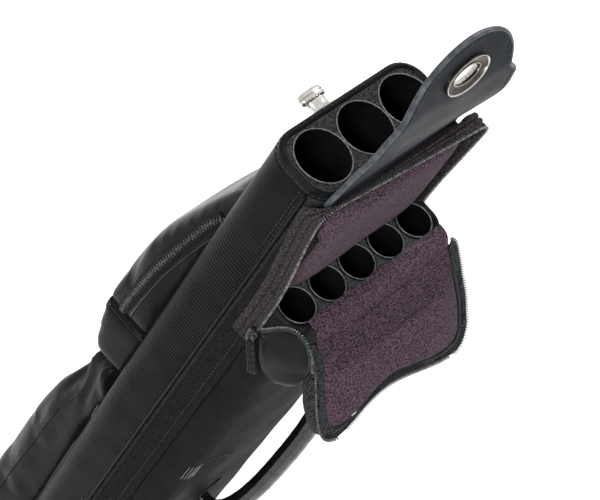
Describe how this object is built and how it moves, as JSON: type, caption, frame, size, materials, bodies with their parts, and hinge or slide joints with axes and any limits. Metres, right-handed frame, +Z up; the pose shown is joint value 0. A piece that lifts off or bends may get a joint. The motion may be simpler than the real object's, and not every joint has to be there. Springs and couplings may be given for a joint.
{
  "type": "cue case",
  "caption": "Upright leather cue case with round butt and shaft tubes, folding lid on a turn lock, zipped shaft flap, carrying handle and zipped pockets.",
  "frame": {"origin": "underside of the base, under the axis of the middle butt tube", "axes": "+X along the row of butt tubes, +Y towards the turn lock and pockets, +Z up along the tubes"},
  "size_m": [0.1596, 0.2036, 0.9061],
  "materials": {
    "black_leather": "grained, satin",
    "slate_leather": "smooth, satin",
    "tube_plastic": "satin",
    "felt": "felt",
    "foam": "matt",
    "plum_lining": "ribbed cloth",
    "black_nylon": "woven",
    "black_zip": "satin",
    "nickel": "polished",
    "rubber": "matt"
  },
  "bodies": {
    "case": {"back_panel": "black_leather", "base_cap": "black_leather", "base_pad": "rubber", "butt_deck": "felt", "butt_pad_1": "foam", "butt_pad_2": "foam", "butt_pad_3": "foam", "butt_tube_1": "tube_plastic", "butt_tube_2": "tube_plastic", "butt_tube_3": "tube_plastic", "divider_wall": "black_nylon", "far_side_gusset": "black_nylon", "far_side_panel": "black_leather", "far_side_piping": "black_leather", "far_side_seam_band": "black_leather", "fixed_zip": "black_zip", "handle_grip": "black_leather", "handle_tab_lower": "black_leather", "handle_tab_upper": "black_leather", "lid_hinge_strip": "slate_leather", "lock_base": "nickel", "lock_washer": "nickel", "lower_pocket": "black_leather", "lower_pocket_zip": "black_zip", "ribbed_side_gusset": "black_nylon", "ribbed_side_panel": "black_leather", "ribbed_side_piping": "black_leather", "ribbed_side_seam_band": "black_leather", "shaft_back_pad": "plum_lining", "shaft_deck": "foam", "shaft_front_panel": "black_leather", "shaft_pad_1": "foam", "shaft_pad_2": "foam", "shaft_pad_3": "foam", "shaft_pad_4": "foam", "shaft_pad_5": "foam", "shaft_tube_1": "tube_plastic", "shaft_tube_2": "tube_plastic", "shaft_tube_3": "tube_plastic", "shaft_tube_4": "tube_plastic", "shaft_tube_5": "tube_plastic", "top_gusset": "black_nylon", "top_rim": "black_leather", "upper_pocket": "black_leather", "upper_pocket_cap": "black_leather", "upper_pocket_zip": "black_zip"},
    "lid_panel": {"lid_panel": "slate_leather"},
    "lid_tongue": {"lid_tongue": "slate_leather", "eyelet_plate": "nickel", "eyelet_back_plate": "nickel"},
    "lock_knob": {"lock_knob": "nickel"},
    "shaft_flap": {"flap_lining": "plum_lining", "flap_pad": "black_leather", "flap_zip": "black_zip"},
    "shaft_zip_slider": {"shaft_zip_slider": "black_zip"},
    "shaft_zip_pull": {"shaft_zip_pull": "black_leather"},
    "upper_pocket_slider": {"upper_pocket_slider": "black_zip"},
    "upper_pocket_pull": {"upper_pocket_pull": "black_leather"},
    "lower_pocket_slider": {"lower_pocket_slider": "black_zip"},
    "lower_pocket_pull": {"lower_pocket_pull": "black_leather"}
  },
  "joints": [
    {"name": "lid_hinge", "type": "hinge", "parent": "case", "child": "lid_panel", "pos_m": [0, -0.0272, 0.7932], "axis": [-1, 0, 0], "range_deg": [-12, 78]},
    {"name": "lid_fold", "type": "hinge", "parent": "lid_panel", "child": "lid_tongue", "pos_m": [0, -0.03606, 0.84342], "axis": [-1, 0, 0], "range_deg": [-12, 75]},
    {"name": "lock_turn", "type": "hinge", "parent": "case", "child": "lock_knob", "pos_m": [0, 0.03696, 0.77112], "axis": [0, 1, 0], "range_deg": [0, 90]},
    {"name": "flap_fold", "type": "hinge", "parent": "case", "child": "shaft_flap", "pos_m": [0, -0.06465, 0.6953], "axis": [-1, 0, 0], "range_deg": [-12, 150]},
    {"name": "shaft_zip_slide", "type": "slide", "parent": "case", "child": "shaft_zip_slider", "axis": [0, 0, 1], "range_m": [-0.002, 0.115]},
    {"name": "shaft_zip_pull_swing", "type": "hinge", "parent": "shaft_zip_slider", "child": "shaft_zip_pull", "pos_m": [-0.08135, -0.03775, 0.6624], "axis": [0, 0.809, -0.5878], "range_deg": [-4, 120]},
    {"name": "upper_pocket_slide", "type": "slide", "parent": "case", "child": "upper_pocket_slider", "axis": [0, 0.123, -0.9924], "range_m": [0, 0.128]},
    {"name": "upper_pocket_pull_swing", "type": "hinge", "parent": "upper_pocket_slider", "child": "upper_pocket_pull", "pos_m": [0.0551, 0.03698, 0.65249], "axis": [0, -1, 0], "range_deg": [0, 120]},
    {"name": "lower_pocket_slide", "type": "slide", "parent": "case", "child": "lower_pocket_slider", "axis": [0, 0, -1], "range_m": [0, 0.235]},
    {"name": "lower_pocket_pull_swing", "type": "hinge", "parent": "lower_pocket_slider", "child": "lower_pocket_pull", "pos_m": [0.0551, 0.0499, 0.3524], "axis": [0, -1, 0], "range_deg": [0, 120]}
  ]
}
